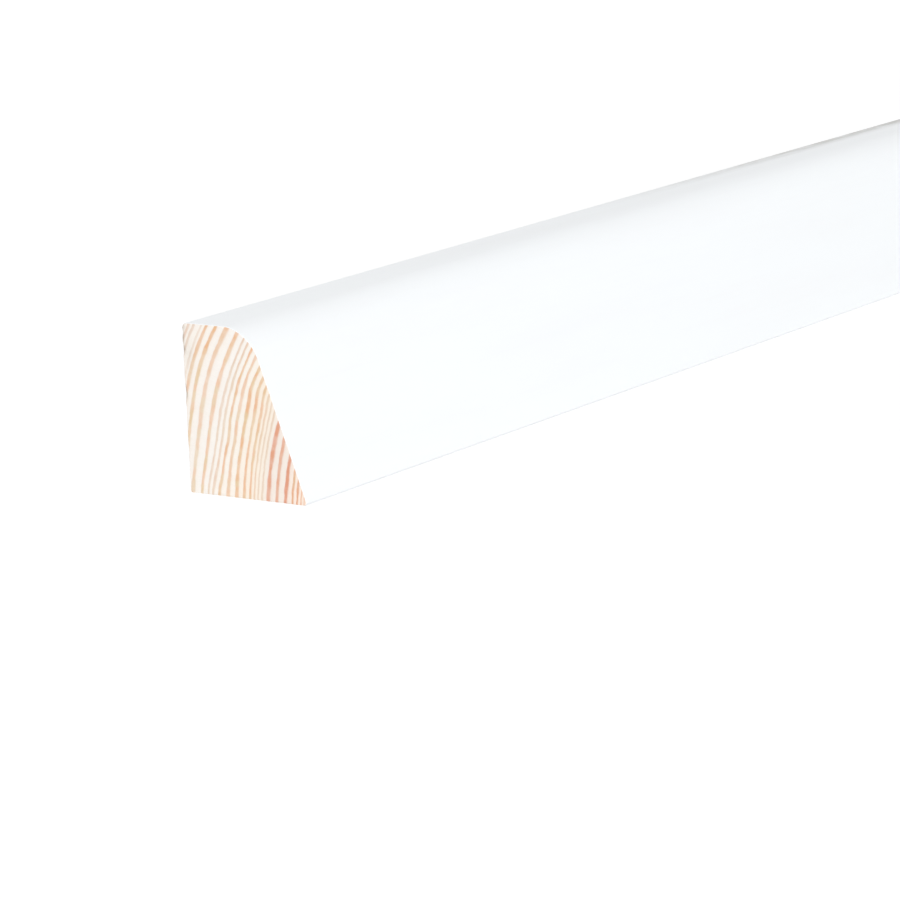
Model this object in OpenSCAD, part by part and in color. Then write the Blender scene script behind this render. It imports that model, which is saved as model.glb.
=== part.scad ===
// Crown moulding: a short length of solid corner strip with a leaning face and a rounded shoulder.
// It stands on its wide face with its back upright and runs along X, the leaning face towards -Y.
// All sizes are in millimetres.

/* [Overall] */
// Length of the strip, cut square at both ends
length = 300; // [60:10:2400]
// Height of the back face
height = 33; // [26:0.5:42]
// Width of the wide face, from the back to the toe
width = 27.5; // [24:0.5:40]

/* [Front] */
// Lean of the front face away from upright, in degrees
face_lean = 20; // [12:0.5:26]
// Radius of the shoulder between the front face and the narrow face
shoulder_radius = 9; // [3:0.5:12]

/* [Eased edges] */
// Radius of the edge between the back and the narrow face
back_edge_radius = 1; // [0.2:0.1:2]
// Radius of the heel, between the back and the wide face
heel_radius = 0.4; // [0.2:0.1:2]
// Radius of the toe, between the front face and the wide face
toe_radius = 0.5; // [0.2:0.1:2]

/* [Hidden] */
// Fineness of the rounded edges
$fn = 96;
// Which way the front face looks, in degrees anticlockwise from the back
front_facing = 180 - face_lean;
// Half the angle between the front face and the wide face, at the toe
half_turn = (90 - face_lean) / 2;
// How far each rounding runs along its flats before it meets them
shoulder_run = shoulder_radius * tan(half_turn);
toe_run = toe_radius / tan(half_turn);
// The sharp corners that the roundings are cut from
toe_corner = -width / 2 - toe_run + toe_radius;
shoulder_corner = toe_corner + height * tan(face_lean);
// How far each curve stands past its flats, so that the two join cleanly
overlap = 0.0001;
// How far each curve goes on round behind its flats, in degrees
lap = 15;
// The strip is wood, painted on the faces that show
paint_colour = [0.93, 0.94, 0.95];

// Flats of the cross-section, joined straight across each rounded edge
module flats() {
  polygon([
    [toe_corner + toe_run, 0],
    [width / 2 - heel_radius, 0],
    [width / 2, heel_radius],
    [width / 2, height - back_edge_radius],
    [width / 2 - back_edge_radius, height],
    [shoulder_corner + shoulder_run, height],
    [
      shoulder_corner - shoulder_run * sin(face_lean),
      height - shoulder_run * cos(face_lean)
    ],
    [
      toe_corner + toe_run * sin(face_lean),
      toe_run * cos(face_lean)
    ]
  ]);
}

// Curve of one edge, from its first facing to its last in degrees anticlockwise from the back
module edge_round(x, y, radius, first, last) {
  reach = 2 * radius;
  middle = (first + last) / 2;
  translate([x, y])
    intersection() {
      circle(r = radius + overlap);
      polygon([
        [0, 0],
        [reach * cos(first - lap), reach * sin(first - lap)],
        [reach * cos(middle), reach * sin(middle)],
        [reach * cos(last + lap), reach * sin(last + lap)]
      ]);
    }
}

// Cross-section seen along the strip, the back to the right
module profile() {
  flats();
  edge_round(width / 2 - back_edge_radius, height - back_edge_radius, back_edge_radius, 0, 90);
  edge_round(shoulder_corner + shoulder_run, height - shoulder_radius, shoulder_radius, 90, front_facing);
  edge_round(toe_corner + toe_run, toe_radius, toe_radius, front_facing, 270);
  edge_round(width / 2 - heel_radius, heel_radius, heel_radius, 270, 360);
}

// The strip, run out to its length and centred along X
module crown_moulding() {
  color(paint_colour)
    translate([-length / 2, 0, 0])
      rotate([90, 0, 90])
        linear_extrude(height = length)
          profile();
}

crown_moulding();
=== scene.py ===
import math

import bpy
import numpy as np
from mathutils import Matrix, Vector


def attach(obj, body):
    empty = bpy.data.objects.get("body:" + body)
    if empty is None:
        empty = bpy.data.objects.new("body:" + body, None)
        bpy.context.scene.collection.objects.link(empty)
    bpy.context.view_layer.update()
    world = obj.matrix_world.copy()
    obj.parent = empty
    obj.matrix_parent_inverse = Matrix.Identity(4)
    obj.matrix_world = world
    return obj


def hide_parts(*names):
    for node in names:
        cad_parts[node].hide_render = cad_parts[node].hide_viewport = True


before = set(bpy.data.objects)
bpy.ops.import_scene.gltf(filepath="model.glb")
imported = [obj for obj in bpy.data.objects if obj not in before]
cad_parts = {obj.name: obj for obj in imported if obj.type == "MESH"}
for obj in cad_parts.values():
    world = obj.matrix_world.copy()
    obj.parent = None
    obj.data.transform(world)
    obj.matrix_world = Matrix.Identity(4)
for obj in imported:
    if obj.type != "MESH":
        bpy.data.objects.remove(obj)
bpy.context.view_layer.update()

mm = 0.001


class Signal:  # one socket of a node tree, so that shader maths reads as plain sums
    def __init__(self, tree, socket=None):
        self.tree, self.socket = tree, socket

    def node(self, kind, settings=None, inputs=None, output=0):
        # any node at all: its settings first, then its sockets' values or links
        made = self.tree.nodes.new(kind)
        for name, value in (settings or {}).items():
            if name == "stops":  # a ramp's stops, each (place, colour)
                ramp = made.color_ramp
                ramp.elements.remove(ramp.elements[1])
                ramp.elements[0].position, ramp.elements[0].color = value[0]
                for place, colour in value[1:]:
                    ramp.elements.new(place).color = colour
            elif name == "blend":
                made.color_ramp.interpolation = value
            else:
                setattr(made, name, value)
        for key, value in (inputs or {}).items():
            if isinstance(value, Signal):
                self.tree.links.new(value.socket, made.inputs[key])
            else:
                made.inputs[key].default_value = value
        return Signal(self.tree, made.outputs[output] if len(made.outputs) else None)

    def output(self, key):
        # another output of the node that this signal comes from
        return Signal(self.tree, self.socket.node.outputs[key])

    def maths(self, operation, *values):
        return self.node("ShaderNodeMath", {"operation": operation}, dict(enumerate(values)))

    def __add__(self, other):
        return self.maths("ADD", self, other)

    def __radd__(self, other):
        return self.maths("ADD", other, self)

    def __sub__(self, other):
        return self.maths("SUBTRACT", self, other)

    def __rsub__(self, other):
        return self.maths("SUBTRACT", other, self)

    def __mul__(self, other):
        return self.maths("MULTIPLY", self, other)

    def __rmul__(self, other):
        return self.maths("MULTIPLY", other, self)

    def __truediv__(self, other):
        return self.maths("DIVIDE", self, other)

    def __rtruediv__(self, other):
        return self.maths("DIVIDE", other, self)

    def __pow__(self, other):
        return self.maths("POWER", self, other)

    def rise(self, low, high, start=0.0, end=1.0):
        # smooth climb from start to end while the signal goes from low to high
        return self.node(
            "ShaderNodeMapRange",
            {"interpolation_type": "SMOOTHSTEP"},
            {"Value": self, "From Min": low, "From Max": high, "To Min": start, "To Max": end},
        )

    def split(self):
        parts = self.node("ShaderNodeSeparateXYZ", {}, {0: self})
        return [parts.output(i) for i in range(3)]

    def join(self, x, y, z):
        return self.node("ShaderNodeCombineXYZ", {}, {0: x, 1: y, 2: z})

    def stretched(self, x, y, z):
        # the vector with each part scaled by its own factor; on mm, a factor is the clouds to a mm
        return self.node("ShaderNodeVectorMath", {"operation": "MULTIPLY"}, {0: self, 1: (x, y, z)})

    def cloud(self, detail=2.0, roughness=0.5):
        # soft noise read at this vector, from 0 to 1 with its middle at a half
        return self.node(
            "ShaderNodeTexNoise",
            {"noise_dimensions": "3D"},
            {"Vector": self, "Scale": 1.0, "Detail": detail, "Roughness": roughness},
        )

    def tinted(self, first, second):
        # colour that goes from first to second as this signal goes from 0 to 1
        return self.node(
            "ShaderNodeMix",
            {"data_type": "RGBA", "clamp_factor": True},
            {0: self, 6: first, 7: second},
            output=2,
        )


def newMaterial(name):
    # an empty material, a signal to grow its nodes from, and the place on the object in mm
    material = bpy.data.materials.new(name)
    material.use_nodes = True
    tree = material.node_tree
    tree.nodes.clear()
    start = Signal(tree)
    place = start.node("ShaderNodeTexCoord", {}, {}, output="Object")
    inMm = start.node("ShaderNodeVectorMath", {"operation": "SCALE"}, {0: place, "Scale": 1 / mm})
    return material, start, inMm


def finishMaterial(start, colour, rough, height, bumpStrength, ior):
    # the height is in mm
    bump = start.node("ShaderNodeBump", {}, {"Strength": bumpStrength, "Distance": mm, "Height": height})
    sockets = {"Base Color": colour, "Roughness": rough, "Normal": bump, "IOR": ior}
    surface = start.node("ShaderNodeBsdfPrincipled", {}, sockets)
    start.node("ShaderNodeOutputMaterial", {}, {"Surface": surface})


def fromScreen(red, green, blue):
    # A colour as read off a swatch, 0 to 255, turned into scene values along the screen's own curve,
    # which is straight near black and a power of 2.4 above.
    part = [v / 255 for v in (red, green, blue)]
    part = [v / 12.92 if v <= 0.04045 else ((v + 0.055) / 1.055) ** 2.4 for v in part]
    return (*part, 1.0)


strip = {
    "length": 300.0,  # all in mm
    "height": 33.0,
    "width": 27.5,
    "faceLean": 20.0,  # degrees from upright
    "shoulderRadius": 9.0,
    "backEdgeRadius": 1.0,
    "heelRadius": 0.4,
    "toeRadius": 0.5,
    "columnStep": 0.9,  # spacing of points on the flats
    "arcPoints": {"backEdge": 13, "shoulder": 31, "toe": 13, "heel": 9},
    "stationStep": 2.5,  # spacing of cross-sections along the strip
    "endMiddle": (0.09, 0.45),  # where the rows of an end close, as shares of the width and the height
    "endRows": 16,
    "endCrowding": 0.85,  # under 1 draws those rows together towards the middle
    # rows that round the arris of an end: inset and depth in mm, then their share of the nicks
    "arrisRows": [
        (0.38, 0.0, 0.02), (0.27, 0.0, 0.06), (0.17, 0.003, 0.2), (0.09, 0.012, 0.5), (0.03, 0.04, 0.9),
    ],
    "sideRows": (0.1, 0.2, 0.4, 0.8, 1.5),  # rows just past the arris, mm along the strip
    "nickDepth": 0.35,  # deepest nick that the saw left in the paint's edge
    "nickReach": 0.35,  # how quickly a nick fades along the strip
    "nickLevel": 0.12,  # part of the nicks' wave that leaves the edge whole
    "bareNicks": 0.5,  # depth of the nicks in a bare edge against those in paint
    "edgeWander": 0.02,  # unevenness of the planed faces
    # splinters gone from the near end's back edge: mm up, half size, depth along the strip
    "chips": [(19.4, 0.9, 0.55), (27.8, 0.6, 0.5), (31.4, 0.7, 0.4), (8.2, 0.5, 0.2)],
}


def arc(centreY, centreZ, radius, first, last, count):
    # points on a circle from one facing to another, in degrees from the back
    turn = np.radians(np.linspace(first, last, count))
    return np.stack([centreY + radius * np.cos(turn), centreZ + radius * np.sin(turn)], 1)


def flat(start, end, step):
    # points on a straight line, its two ends left to the curves that it joins
    count = max(2, int(np.hypot(*(end - start)) / step))
    share = np.linspace(0, 1, count + 1)[1:-1, None]
    return start * (1 - share) + end * share


def outline(s):
    # Closed cross-section: up the back, over the top to the front, down to the toe and home along the
    # base. Each corner is an arc whose centre lies one radius in from both flats that it joins.
    lean = math.radians(s["faceLean"])
    halfTurn = math.radians((90 - s["faceLean"]) / 2)
    half, top, step = s["width"] / 2, s["height"], s["columnStep"]
    front, counts = 180 - s["faceLean"], s["arcPoints"]
    toeRun = s["toeRadius"] / math.tan(halfTurn)
    toeCorner = -half - toeRun + s["toeRadius"]
    shoulderCorner = toeCorner + top * math.tan(lean)
    shoulderY = shoulderCorner + s["shoulderRadius"] * math.tan(halfTurn)
    backY, backZ = half - s["backEdgeRadius"], top - s["backEdgeRadius"]
    backEdge = arc(backY, backZ, s["backEdgeRadius"], 0, 90, counts["backEdge"])
    shoulder = arc(shoulderY, top - s["shoulderRadius"], s["shoulderRadius"], 90, front, counts["shoulder"])
    toe = arc(toeCorner + toeRun, s["toeRadius"], s["toeRadius"], front, 270, counts["toe"])
    heel = arc(half - s["heelRadius"], s["heelRadius"], s["heelRadius"], 270, 360, counts["heel"])
    pieces = [
        ("back", flat(heel[-1], backEdge[0], step)),
        ("paint", backEdge),
        ("paint", flat(backEdge[-1], shoulder[0], step)),
        ("paint", shoulder),
        ("paint", flat(shoulder[-1], toe[0], step)),
        ("paint", toe),
        ("base", flat(toe[-1], heel[0], step)),
        ("base", heel),
    ]
    points = np.concatenate([p for _, p in pieces])
    side = np.concatenate([[name] * len(p) for name, p in pieces])
    along = np.roll(points, -1, 0) - np.roll(points, 1, 0)
    outward = np.stack([along[:, 1], -along[:, 0]], 1)
    outward /= np.linalg.norm(outward, axis=1, keepdims=True)
    return points, outward, side


def ripple(place, seed, waves, longest):
    # sum of sines of falling size and growing rate, each at its own phase, kept within -1 to 1
    fall, growth = 1.35, 1.6
    draw = np.random.default_rng(seed)
    order = np.arange(waves)
    phase = draw.uniform(0, 2 * math.pi, waves)
    size = fall**-order
    return np.sin(place[:, None] * (2 * math.pi / longest * growth**order) + phase) @ size / size.sum()


def travelRound(points):
    # distance gone round the closed outline at each point, and all the way round
    gaps = np.linalg.norm(np.roll(points, -1, 0) - points, axis=1)
    travel = np.cumsum(gaps)
    return np.concatenate([[0], travel[:-1]]), travel[-1]


def gapToPaint(side, travel, around):
    # distance of each outline point from the nearest painted one, measured round the outline, and -1
    # for the painted points themselves
    gap = np.abs(travel[:, None] - travel[side == "paint"])
    gap = np.minimum(gap, around - gap).min(1)
    return np.where(side == "paint", -1.0, gap)


def stationRows(s):
    # For each row of points: share of the way to the end's middle, inset and place along the strip in
    # mm, share of the nicks, and whether it belongs to the far end, which mirrors the near one.
    shares = np.linspace(1, 0, s["endRows"] + 1)[1:-1] ** s["endCrowding"]
    firstInset = s["arrisRows"][0][0]
    near = [(share, firstInset, 0.0, 0.0) for share in shares] + [(0.0, *row) for row in s["arrisRows"]]
    near += [(0.0, 0.0, depth, math.exp(-depth / s["nickReach"])) for depth in s["sideRows"]]
    near = np.array(near)
    run = np.linspace(s["stationStep"], s["length"] - s["stationStep"], int(s["length"] / s["stationStep"]))
    body = np.stack([run * 0, run * 0, run, run * 0], 1)
    share, inset, depth, pull = np.concatenate([near, body, near[::-1]]).T
    isFar = np.arange(len(share)) >= len(near) + len(body)
    return share, inset, np.where(isFar, s["length"] - depth, depth), pull, isFar


mapLayout = {  # the flat map, in shares of its side
    # The sawn ends get half of it, because their rings are far finer than anything along the strip.
    "ends": (0.012, 0.51),  # left side of the near end, then of the far one
    "endBottom": 0.512,
    "endHeight": 0.47,
    "bands": {"paint": (0.34, 0.485), "back": (0.175, 0.325), "base": (0.015, 0.165)},  # bottom and top
    "margin": 0.01,  # beside each band
}


def endMap(spots, s):
    # square-on view of an end, the far one beside the near one
    isFar = spots[..., 0] > 0
    scale = mapLayout["endHeight"] / s["height"]
    across = np.where(isFar, spots[..., 1] + s["width"] / 2, s["width"] / 2 - spots[..., 1])
    nearLeft, farLeft = mapLayout["ends"]
    u = np.where(isFar, farLeft, nearLeft) + across * scale
    return np.stack([u, mapLayout["endBottom"] + spots[..., 2] * scale], -1)


def longMap(x, faceSide, travel, around, s):
    # a band for each long face: the length of the strip runs across it, the outline runs up it
    travelOn = np.append(travel, around)
    up = np.zeros((len(travel), 2))
    for key, (bottom, top) in mapLayout["bands"].items():
        mine = np.flatnonzero(faceSide == key)
        first, final = travelOn[mine[0]], travelOn[mine[-1] + 1]
        for corner in (0, 1):
            up[mine, corner] = bottom + (top - bottom) * (travelOn[mine + corner] - first) / (final - first)
    margin = mapLayout["margin"]
    along = margin + (1 - 2 * margin) * (x + s["length"] / 2) / s["length"]
    onward = np.roll(along, -1, 1)
    u = np.stack([along[:-1], onward[:-1], onward[1:], along[1:]], 2)
    return np.stack([u, np.broadcast_to(up[:, [0, 1, 1, 0]], u.shape)], -1)


def stripMesh(name, s):
    # One closed skin on a grid: a row is the outline at one place along X, drawn in towards a middle
    # point by its own share. The rows start at the near end's middle, widen to the arris, run along
    # the strip and close again at the far end. Nicks and chips push the rows next to an arris along X.
    points, outward, side = outline(s)
    travel, around = travelRound(points)
    gap = gapToPaint(side, travel, around)
    share, inset, depth, pull, isFar = stationRows(s)
    columns, halfLength = len(points), s["length"] / 2
    middle = np.array(s["endMiddle"]) * (s["width"], s["height"])

    nicks = np.clip(ripple(travel, seed=11, waves=9, longest=14.0) - s["nickLevel"], 0, 1) * s["nickDepth"]
    nicks = np.where(side == "paint", nicks, nicks * s["bareNicks"])
    chips = sum(deep * np.exp(-(((points[:, 1] - up) / size) ** 2)) for up, size, deep in s["chips"])
    chips = np.where(side == "back", chips, 0)
    bite = np.where(isFar[:, None], -nicks, nicks + chips)
    x = depth[:, None] - halfLength + pull[:, None] * bite
    alongSwell = ripple(depth, seed=3, waves=4, longest=120.0)
    roundSwell = ripple(travel, seed=5, waves=4, longest=60.0)
    sunk = inset[:, None] + s["edgeWander"] * (0.5 + 0.5 * alongSwell[:, None] * roundSwell)
    flatwise = points - outward * sunk[..., None]
    flatwise = middle + (flatwise - middle) * (1 - share)[:, None, None]
    grid = np.concatenate([x[..., None], flatwise], 2)
    poles = [[-halfLength, *middle], [halfLength, *middle]]
    coords = np.concatenate([grid.reshape(-1, 3), poles])

    column = np.arange(columns)
    following = (column + 1) % columns
    row = np.arange(len(share) - 1)[:, None] * columns
    quads = np.stack([row + column, row + following, row + following + columns, row + column + columns], 2)
    nearPole, farPole, lastRow = len(coords) - 2, len(coords) - 1, (len(share) - 1) * columns
    nearFan = np.stack([np.full(columns, nearPole), following, column], 1)
    farFan = np.stack([lastRow + column, lastRow + following, np.full(columns, farPole)], 1)
    mesh = bpy.data.meshes.new(name)
    faces = quads.reshape(-1, 4).tolist() + nearFan.tolist() + farFan.tolist()
    mesh.from_pydata((coords * mm).tolist(), [], faces)

    # finish of each face: paint 0, planed pine 1, sawn pine 2
    painted = (side == "paint") | (side[following] == "paint")
    isLong = (inset[:-1] == 0) & (inset[1:] == 0)
    finish = np.where(isLong[:, None], np.where(painted, 0, 1), 2)
    finish = np.concatenate([finish.ravel(), np.full(2 * columns, 2)])
    mesh.polygons.foreach_set("material_index", finish.astype(np.int32))

    # distance from the painted faces in mm, which the materials read; the poles are far from any
    fromEdge = inset[:, None] + np.linalg.norm(points - middle, axis=1) * share[:, None]
    onEnd = np.hypot(fromEdge, np.maximum(gap, 0))
    paintGap = np.where(inset[:, None] > 0, onEnd, gap)
    paintGap = np.concatenate([paintGap.ravel(), [9.0, 9.0]])
    mesh.attributes.new("paintGap", "FLOAT", "POINT").data.foreach_set("value", paintGap.astype(np.float32))

    onBands = longMap(x, np.where(painted, "paint", side), travel, around, s)
    quadMap = np.where(isLong[:, None, None, None], onBands, endMap(coords[quads], s))
    corners = [quadMap, endMap(coords[nearFan], s), endMap(coords[farFan], s)]
    uv = np.concatenate([part.reshape(-1, 2) for part in corners])
    mesh.uv_layers.new(name="OFBake").data.foreach_set("uv", uv.ravel().astype(np.float32))
    mesh.shade_smooth()
    mesh.update()
    return mesh


paintLook = {
    "white": fromScreen(246, 249, 251),
    "thin": fromScreen(244, 246, 248),  # where the coat is thinner
    "backEdge": fromScreen(186, 184, 180),  # painted shade on the back arris, darker towards the far end
    "paintedShadeAcross": (1.0, 6.0),  # mm from the back: full painted shade before the first, none past the second
    "paintedShadeAlong": (-30, 130),  # mm along the strip: no painted shade before the first, full past the second
    "roughness": 0.42,
    "grainHeight": 0.012,  # mm
    "peelHeight": 0.006,
}


def whitePaint(look):
    material, start, place = newMaterial("white_paint")
    x, y, _ = place.split()
    cloudy = place.stretched(0.012, 0.12, 0.12).cloud(3.0)
    streak = place.stretched(0.03, 1.5, 1.5).cloud(3.0, 0.6)  # grain that shows through the coat
    peel = place.stretched(0.9, 1.1, 1.1).cloud(2.0)  # the coat's own fine texture
    thin = cloudy.rise(0.35, 0.75) * 0.6 + streak.rise(0.5, 0.8) * 0.4
    colour = thin.tinted(look["white"], look["thin"])
    fromBack = strip["width"] / 2 - y
    # painted shade along the back arris, deepening towards the far end and broken into patches
    shadePatches = place.stretched(0.12, 0.9, 0.9).cloud(4.0, 0.65).rise(0.3, 0.65, 0.45, 1.0)
    paintedShade = (1 - fromBack.rise(*look["paintedShadeAcross"])) * x.rise(*look["paintedShadeAlong"]) * shadePatches
    colour = paintedShade.tinted(colour, look["backEdge"])
    rough = look["roughness"] + (peel - 0.5) * 0.12 + (streak - 0.5) * 0.1
    height = streak * look["grainHeight"] + peel * look["peelHeight"]
    finishMaterial(start, colour, rough, height, bumpStrength=0.35, ior=1.5)
    return material


pine = {
    # rounded output of a least-squares fit: the pith, the outer ring, the gaps of the fourth to
    # the 24th ring and the swells
    "pith": (80.0, -6.0),  # the tree's middle, mm in front of the back and mm above the base
    "pithDrift": (0.004, 0.007),  # how far it moves for each mm along the strip
    "outerRing": 91.5,  # mm from the pith
    # each ring from the bark side in: mm to the next, then how deep its dark line is, how wide in mm
    # and how red
    "rings": [
        (1.2, 0.5, 0.5, 0.3), (1.3, 0.6, 0.6, 0.2), (1.25, 0.4, 0.5, 0.3), (1.0, 0.42, 0.5, 0.35),
        (1.5, 0.4, 0.56, 0.25), (1.0, 0.28, 0.5, 0.1), (1.8, 0.66, 0.7, 0.1), (2.35, 0.75, 0.8, 0.0),
        (2.7, 0.61, 1.0, 0.0), (2.0, 0.69, 0.88, 0.0), (1.25, 0.5, 0.56, 0.1), (1.35, 0.53, 0.56, 0.1),
        (1.6, 0.78, 0.6, 0.1), (1.85, 0.64, 0.7, 0.1), (1.8, 0.84, 0.84, 0.0), (1.4, 0.78, 0.64, 0.1),
        (1.0, 0.76, 0.52, 0.15), (0.9, 0.55, 0.4, 0.15), (0.95, 0.43, 0.35, 0.1), (1.4, 0.48, 0.4, 0.1),
        (2.0, 0.89, 0.8, 0.9), (2.05, 0.77, 0.64, 0.8), (1.6, 0.88, 0.7, 1.0), (1.1, 0.86, 0.5, 0.4),
        (0.9, 0.95, 0.5, 0.6), (0.7, 0.7, 0.4, 0.4), (1.1, 0.6, 0.38, 0.4), (1.3, 0.5, 0.4, 0.3),
        (1.2, 0.6, 0.4, 0.2), (1.0, 0.6, 0.4, 0.2),
    ],
    # where the rings run out of round: mm from the back, mm up, half sizes, then mm outwards
    "swells": [
        (5.3, -0.3, 3.0, 5.4, 1.05), (0.2, 11.0, 6.3, 12.0, -0.85), (18.0, 21.8, 4.3, 3.9, 0.75),
        (10.5, 11.3, 3.0, 2.6, -0.35), (9.0, 40.0, 8.0, 11.0, -1.1),
    ],
    "wander": 1.6,  # mm by which the rings drift along the strip
    "shake": 0.34,  # mm of fine waviness
    "fibreEdge": 0.3,  # mm by which fibres break up a line on a planed face
    # pale wood between the dark lines, by mm from the pith
    "pale": [
        (50.0, fromScreen(251, 233, 218)), (55.0, fromScreen(250, 235, 222)),
        (58.5, fromScreen(242, 233, 224)), (62.0, fromScreen(242, 234, 226)),
        (64.0, fromScreen(248, 237, 223)), (66.5, fromScreen(248, 237, 223)),
        (69.5, fromScreen(248, 242, 233)), (77.0, fromScreen(247, 243, 238)),
        (84.0, fromScreen(247, 241, 234)), (88.0, fromScreen(246, 240, 232)),
    ],
    "faint": fromScreen(211, 182, 152),  # dark wood of the faintest lines
    "orange": fromScreen(232, 182, 140),
    "tan": fromScreen(225, 194, 150),
    "red": fromScreen(222, 151, 121),
    "cells": fromScreen(226, 208, 188),  # rays and cells between the lines
    "cellStrength": 0.1,
    "rays": (260.0, 0.22, 0.05),  # how finely they repeat: to a radian, to a mm outwards, to a mm along
    # grey smudges and painted shade of the chipped arris at the near end's back edge: mm from the back, mm
    # up, half sizes, then strength
    "smudges": [
        (0.15, 19.4, 0.35, 1.2, 0.9), (0.2, 27.8, 0.45, 0.7, 0.85), (0.15, 30.2, 0.35, 1.3, 0.6),
        (0.2, 32.3, 0.55, 0.7, 0.55), (1.5, 27.0, 0.9, 2.6, 0.14),
    ],
    # colour of the grey smudges and of the painted shade in the chips
    "smudge": fromScreen(168, 156, 142),
    "paleLong": fromScreen(243, 229, 206),  # planed faces along the grain
    "orangeLong": fromScreen(216, 172, 124),
    "redLong": fromScreen(205, 144, 104),
    "fibre": fromScreen(218, 188, 148),
    "fibreStrength": 0.42,
    "resin": fromScreen(176, 128, 84),
    "resinStrength": 0.45,
    "sawnRoughness": 0.72,
    "planedRoughness": 0.62,
    # how far each part stands out of the surface, in mm
    "sawnRelief": {"lines": 0.03, "cells": 0.012, "saw": 0.003, "paint": 0.03},
    "planedRelief": {"lines": 0.02, "fibre": 0.02, "knife": 0.004, "paint": 0.02, "canals": -0.01},
    "sawMiddle": (160.0, 60.0),  # middle of the blade that cut the ends, mm along Y and up
    "sawMarks": 7.5,  # radians of its wave to a mm
    "knifeStep": 1.7,  # mm between the planer's knife marks
    # mm from the painted faces: full paint before the first, none past the second
    "paintRim": (0.05, 0.15),  # the coat's own thickness, on a sawn end
    "paintLap": (0.25, 0.9),  # what laps round onto planed wood
    "paintMist": (0.5, 4.5),  # specks that drifted further on
}


def bell(across, up, spot):
    # smooth hill over a spot, 1 at its middle and gone about two half sizes away
    first = (across - spot[0]) / spot[2]
    second = (up - spot[1]) / spot[3]
    far = first * first + second * second
    return far.maths("EXPONENT", far * -1.0)


def growthRings(start, place, look, sawn):
    # Distance from the drifting pith, less the swells, looks up the nearest dark line in a stepped
    # ramp that holds its own distance, depth, width and redness. A planed face shows each line as it
    # grew: it darkens slowly towards the bark and stops at once, with fibres along its edge.
    x, y, z = place.split()
    run = x + strip["length"] / 2
    fromBack = strip["width"] / 2 - y
    across = look["pith"][0] - run * look["pithDrift"][0] - fromBack
    above = z - look["pith"][1] - run * look["pithDrift"][1]
    radius = (across * across + above * above) ** 0.5
    for swell in look["swells"]:
        radius = radius - bell(fromBack, z, swell) * swell[4]
    wander = (place.stretched(0.012, 0.1, 0.1).cloud(1.0) - 0.5) * look["wander"]
    shake = (place.stretched(0.02, 0.55, 0.55).cloud(2.0) - 0.5) * look["shake"]
    radius = radius + wander * run.rise(0, 80) + shake
    if not sawn:
        radius = radius + (place.stretched(0.03, 2.2, 2.2).cloud(3.0, 0.65) - 0.5) * look["fibreEdge"]

    gaps = np.array([ring[0] for ring in look["rings"]])
    lines = look["outerRing"] - np.concatenate([[0], np.cumsum(gaps[:-1])])
    low, span = lines[-1] - gaps[-1], lines[0] + gaps[0] - lines[-1] + gaps[-1]
    stops = []
    for line, gap, (_, depth, width, red) in zip(lines[::-1], gaps[::-1], look["rings"][::-1]):
        begin = max(0.0, (line - 0.7 * gap - low) / span)  # most of a gap belongs to the line outside it
        stops.append((begin, ((line - low) / span, depth, width, red)))
    share = (radius - low) / span
    table = start.node("ShaderNodeValToRGB", {"blend": "CONSTANT", "stops": stops}, {0: share})
    parts = start.node("ShaderNodeSeparateColor", {}, {0: table})
    depth, width, red = parts.output(1), parts.output(2), table.output("Alpha")
    width = width * place.stretched(0.03, 0.22, 0.22).cloud(1.0).rise(0.35, 0.65, 0.84, 1.16)
    off = (radius - low - parts.output(0) * span) / width  # outwards from the dark line, in its widths
    if sawn:
        dark = off.rise(-0.9, -0.25) * (1 - off.rise(0.25, 0.6))
        tail = off.rise(-1.7, -0.5) * (1 - off.rise(0.0, 0.4)) * 0.12
        dark = dark.maths("MAXIMUM", dark, tail)
    else:
        dark = (off.rise(-1.5, 0.1) * 0.65 + off.rise(-0.5, 0.4) * 0.35) * (1 - off.rise(0.4, 0.55))
    stops = [((radial - low) / span, colour) for radial, colour in look["pale"]]
    pale = start.node("ShaderNodeValToRGB", {"stops": stops}, {0: share})
    patchy = place.stretched(0.02, 0.35, 0.35).cloud(3.0, 0.6)
    return radius, dark * depth * patchy.rise(0.25, 0.75, 0.8, 1.2), depth, red, pale


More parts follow.
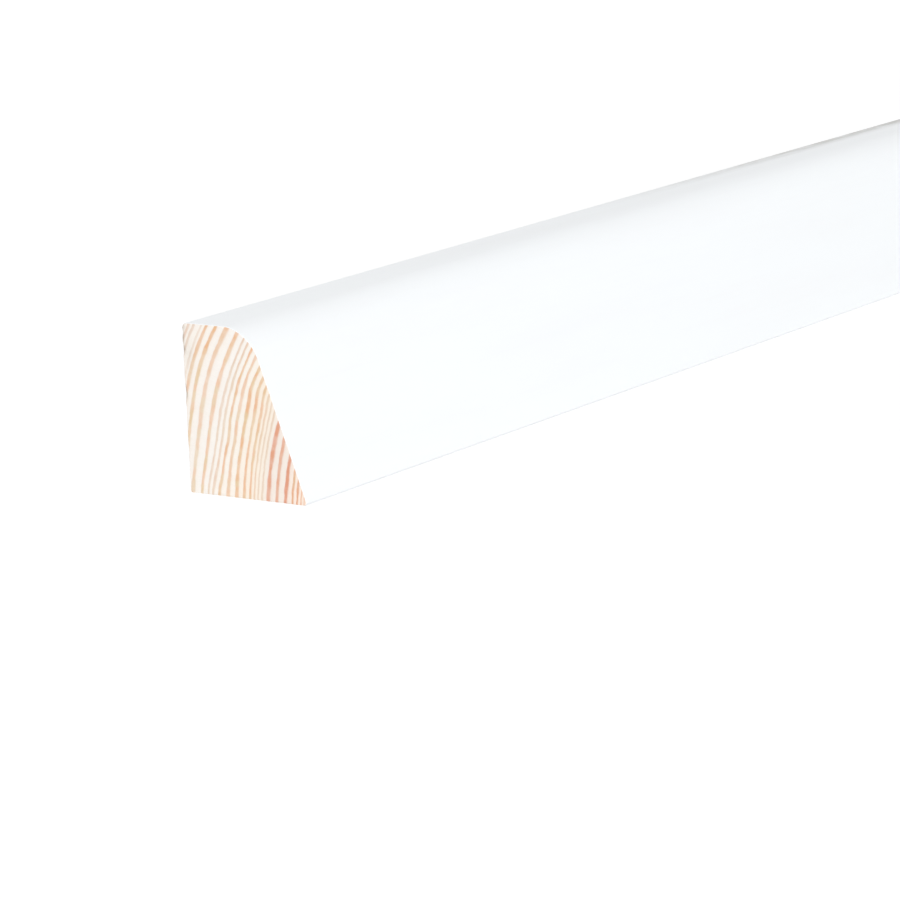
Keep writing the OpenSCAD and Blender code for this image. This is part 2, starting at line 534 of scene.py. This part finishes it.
def sawnFace(start, place, look, gap):
    radius, dark, depth, red, pale = growthRings(start, place, look, sawn=True)
    x, y, z = place.split()
    fromBack = strip["width"] / 2 - y
    # towards the narrow face the lines turn from tan to orange and deepen
    hue = place.stretched(0.03, 0.3, 0.3).cloud(2.0).rise(0.42, 0.6) * z.rise(22, 31, 1.0, 0.25)
    dark = dark * z.rise(22, 32, 1.05, 1.24)
    deep = depth.rise(0.38, 0.68).tinted(look["faint"], hue.tinted(look["orange"], look["tan"]))
    colour = dark.tinted(pale, red.tinted(deep, look["red"]))

    # rays fan out from the pith, cells and saw lines are finer still
    turn = z.maths("ARCTAN2", z - look["pith"][1], look["pith"][0] - fromBack)
    rayTurn, rayOut, rayAlong = look["rays"]
    rays = start.join(turn * rayTurn, radius * rayOut, x * rayAlong).cloud(1.0)
    cells = place.stretched(0.5, 5.0, 5.0).cloud(2.0, 0.6)
    fine = rays.rise(0.3, 0.7) * 0.5 + cells.rise(0.3, 0.7) * 0.5
    colour = (fine * look["cellStrength"]).tinted(colour, look["cells"])
    sawY, sawZ = look["sawMiddle"]
    fromSaw = {0: start.join(0.0, y - sawY, z - sawZ)}
    sweep = start.node("ShaderNodeVectorMath", {"operation": "LENGTH"}, fromSaw, output="Value")
    saw = sweep.maths("SINE", sweep * look["sawMarks"] + cells * 3.0)

    ragged = place.stretched(0.3, 0.9, 0.6).cloud(3.0, 0.6).rise(0.3, 0.6, 0.5, 1.2)
    # grey smudges near the back edge, with painted shade where splinters are gone from the arris
    for spot in look["smudges"]:
        grey = bell(fromBack, z, spot) * spot[4] * ragged * (1 - x.rise(-1, 1))
        colour = grey.tinted(colour, look["smudge"])
    rim = 1 - (gap + (cells - 0.5) * 0.08).rise(*look["paintRim"])
    colour = rim.tinted(colour, paintLook["white"])
    relief = look["sawnRelief"]
    height = dark * relief["lines"] + fine * relief["cells"] + saw * relief["saw"] + rim * relief["paint"]
    return colour, look["sawnRoughness"] - dark * 0.12, height


def planedFace(start, place, look, gap):
    _, dark, _, red, _ = growthRings(start, place, look, sawn=False)
    x, _, _ = place.split()
    colour = dark.tinted(look["paleLong"], red.tinted(look["orangeLong"], look["redLong"]))
    streak = place.stretched(0.014, 2.4, 2.4).cloud(4.0, 0.7)
    broad = place.stretched(0.006, 0.35, 0.35).cloud(2.0)
    tone = streak.rise(0.34, 0.66) * 0.6 + broad.rise(0.3, 0.7) * 0.4
    colour = (tone * look["fibreStrength"]).tinted(colour, look["fibre"])

    # resin canals are cells drawn out along the grain, most of them in the dark lines
    drawnOut = {"Vector": place.stretched(0.045, 0.8, 0.8), "Scale": 1.0}
    canals = start.node("ShaderNodeTexVoronoi", {"feature": "F1"}, drawnOut)
    canal = (1 - canals.rise(0.05, 0.14)) * dark.rise(0.05, 0.4, 0.25, 1.0)
    colour = (canal * look["resinStrength"]).tinted(colour, look["resin"])

    knife = x.maths("SINE", x * (2 * math.pi / look["knifeStep"]))
    ragged = place.stretched(0.35, 0.9, 0.9).cloud(3.0, 0.6)
    speck = place.stretched(1.6, 1.8, 1.8).cloud(2.0, 0.7)
    lap = 1 - (gap + (ragged - 0.5) * 2.6).rise(*look["paintLap"])
    mist = (1 - gap.rise(*look["paintMist"])) * speck.rise(0.56, 0.66) * 0.7
    white = lap.maths("MAXIMUM", lap, mist)
    colour = white.tinted(colour, paintLook["white"])
    relief = look["planedRelief"]
    height = dark * relief["lines"] + streak * relief["fibre"] + knife * relief["knife"]
    height = height + white * relief["paint"] + canal * relief["canals"]
    return colour, look["planedRoughness"] - dark * 0.1 - white * 0.12, height


def pineWood(name, look, face):
    material, start, place = newMaterial(name)
    gap = start.node("ShaderNodeAttribute", {"attribute_name": "paintGap"}, {}, output="Fac")
    colour, rough, height = face(start, place, look, gap)
    finishMaterial(start, colour, rough, height, bumpStrength=0.5, ior=1.45)
    return material


moulding = bpy.data.objects.new("crown_moulding_strip", stripMesh("crown_moulding_strip", strip))
bpy.context.scene.collection.objects.link(moulding)
finishes = [  # in the order of the numbers that the faces carry
    whitePaint(paintLook),
    pineWood("planed_pine", pine, planedFace),
    pineWood("sawn_pine", pine, sawnFace),
]
for finish in finishes:
    moulding.data.materials.append(finish)
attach(moulding, "root")
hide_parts("crown_moulding")
print("strip made,", len(moulding.data.polygons), "faces and", len(finishes), "finishes")

room = {
    "floorSize": 12.0,  # metres
    "ambient": 0.5,  # strength of the plain white surroundings as light
    # each lamp: metres from the origin, watts, width and height in metres
    "lamps": {
        "key_light": ((-1.8, -0.985, 1.6), 37.2, 1.5, 1.5),  # high, towards the near end
        "fill_light": ((0.9, -1.8, 0.35), 8.0, 1.2, 1.2),  # low, in front of the far half
        "back_light": ((1.0, 2.1, 0.2), 8.6, 1.6, 0.3),  # low strip behind, for the bare back
    },
    "floorGlow": [(0.25, 0.82), (1.2, 1.0)],  # metres out, then the light that the seen floor adds there
    "floorShade": (0.25, 0.25, 0.255, 1),  # what is left to show the strip's shadow
    "floorPale": (0.44, 0.44, 0.44, 1),  # floor as it lights the strip
    "floorTable": 0.47,  # light that it gives the strip from below, as a light table does
}


def stagePlane(name, size):
    half = size / 2
    mesh = bpy.data.meshes.new(name)
    corners = [(-half, -half, 0), (half, -half, 0), (half, half, 0), (-half, half, 0)]
    mesh.from_pydata(corners, [], [(0, 1, 2, 3)])
    plane = bpy.data.objects.new(name, mesh)
    bpy.context.scene.collection.objects.link(plane)
    return plane


def seenDirectly(start):
    # 1 for what the camera, or a mirror or glass in its view, sees
    path = start.node("ShaderNodeLightPath")
    either = start.maths("MAXIMUM", path.output("Is Camera Ray"), path.output("Is Glossy Ray"))
    return start.maths("MAXIMUM", either, path.output("Is Transmission Ray"))


floor = stagePlane("floor", room["floorSize"])
floorPaper, paper, fromMiddle = newMaterial("floor_paper")
pale = paper.node("ShaderNodeBsdfDiffuse", {}, {"Color": room["floorPale"]})
table = paper.node("ShaderNodeEmission", {}, {"Color": (1, 1, 1, 1), "Strength": room["floorTable"]})
lit = paper.node("ShaderNodeAddShader", {}, {0: pale, 1: table})
metresOut = paper.node("ShaderNodeVectorMath", {"operation": "LENGTH"}, {0: fromMiddle}, output="Value") * mm
(near, dim), (far, bright) = room["floorGlow"]
glowColour = metresOut.rise(near, far).tinted((dim, dim, dim, 1), (bright, bright, bright, 1))
glow = paper.node("ShaderNodeEmission", {}, {"Color": glowColour, "Strength": 1.0})
soft = paper.node("ShaderNodeBsdfDiffuse", {}, {"Color": room["floorShade"]})
both = paper.node("ShaderNodeAddShader", {}, {0: soft, 1: glow})
shown = paper.node("ShaderNodeMixShader", {}, {0: seenDirectly(paper), 1: lit, 2: both})
paper.node("ShaderNodeOutputMaterial", {}, {"Surface": shown})
floor.data.materials.append(floorPaper)

world = bpy.data.worlds.new("studio")
bpy.context.scene.world = world
world.use_nodes = True
world.node_tree.nodes.clear()
sky = Signal(world.node_tree)
strength = seenDirectly(sky) * (1 - room["ambient"]) + room["ambient"]
backdrop = sky.node("ShaderNodeBackground", {}, {"Color": (1, 1, 1, 1), "Strength": strength})
sky.node("ShaderNodeOutputWorld", {}, {"Surface": backdrop})

for name, (spot, power, width, height) in room["lamps"].items():
    light = bpy.data.lights.new(name, "AREA")
    light.shape, light.size, light.size_y, light.energy = "RECTANGLE", width, height, power
    lamp = bpy.data.objects.new(name, light)
    bpy.context.scene.collection.objects.link(lamp)
    lamp.location = spot
    toStrip = Vector((0, 0, strip["height"] / 2 * mm)) - lamp.location
    lamp.rotation_euler = toStrip.to_track_quat("-Z", "Y").to_euler()
print("floor, surroundings and", len(room["lamps"]), "lamps ready")

view = {  # output of a least-squares fit, apart from the sensor and the clip
    "azimuth": 54.996,  # degrees from +Y towards +X, the way the camera looks
    "elevation": 12.483,  # degrees that it looks down
    "roll": 2.446,
    "place": (-736.8, -457.9, 172.4),  # mm
    "lens": 161.5,  # mm
    "sensor": 36.0,  # mm wide
    "clip": (0.01, 50.0),  # metres
}
cameraData = bpy.data.cameras.new("camera")
cameraData.sensor_width, cameraData.lens = view["sensor"], view["lens"]
cameraData.clip_start, cameraData.clip_end = view["clip"]
camera = bpy.data.objects.new("camera", cameraData)
bpy.context.scene.collection.objects.link(camera)
turn, dip, roll = (math.radians(view[key]) for key in ("azimuth", "elevation", "roll"))
forward = Vector((math.sin(turn) * math.cos(dip), math.cos(turn) * math.cos(dip), -math.sin(dip)))
right = forward.cross(Vector((0, 0, 1))).normalized()
upward = right.cross(forward)
tilted = upward * math.cos(roll) + right * math.sin(roll)
level = right * math.cos(roll) - upward * math.sin(roll)
axes = Matrix((level, tilted, -forward)).transposed().to_4x4()
camera.matrix_world = Matrix.Translation(Vector(view["place"]) * mm) @ axes
bpy.context.scene.camera = camera
bpy.context.scene.view_settings.view_transform = "Standard"
print("camera ready")
